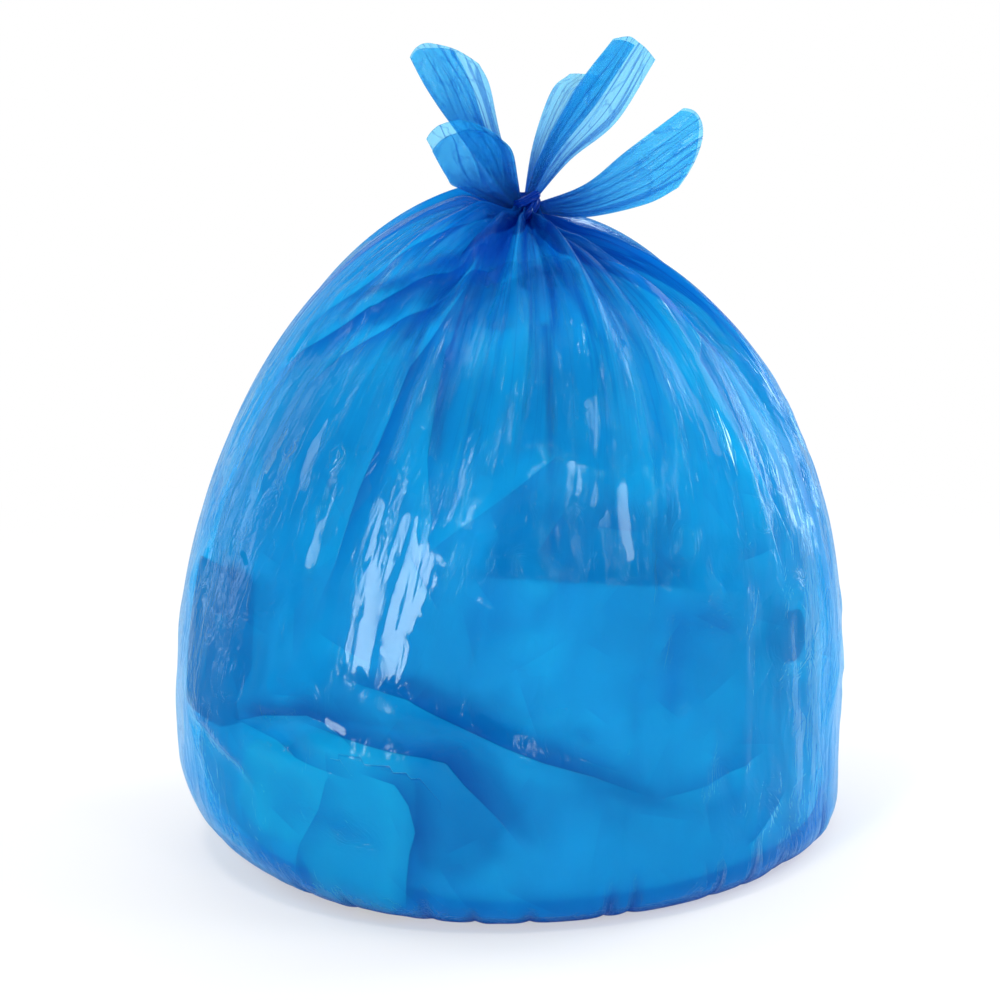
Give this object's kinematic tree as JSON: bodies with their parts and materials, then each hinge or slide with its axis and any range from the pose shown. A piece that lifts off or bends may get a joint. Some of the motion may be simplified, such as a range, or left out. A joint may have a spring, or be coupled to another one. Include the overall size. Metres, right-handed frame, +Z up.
{
  "type": "refuse sack",
  "caption": "Filled refuse sack of thin glossy film, standing on a flat base, with a domed body gathered at the mouth and tied in a knot under spread ears.",
  "frame": {"origin": "middle of the flat base, on the floor", "axes": "+Z up through the knot's height, +X to the right of the front, the front faces -Y"},
  "size_m": [0.5075, 0.4338, 0.6105],
  "materials": {
    "film": "translucent blue blown film, glossy, with fine creases"
  },
  "bodies": {
    "root": {"sack": "film"}
  },
  "joints": []
}
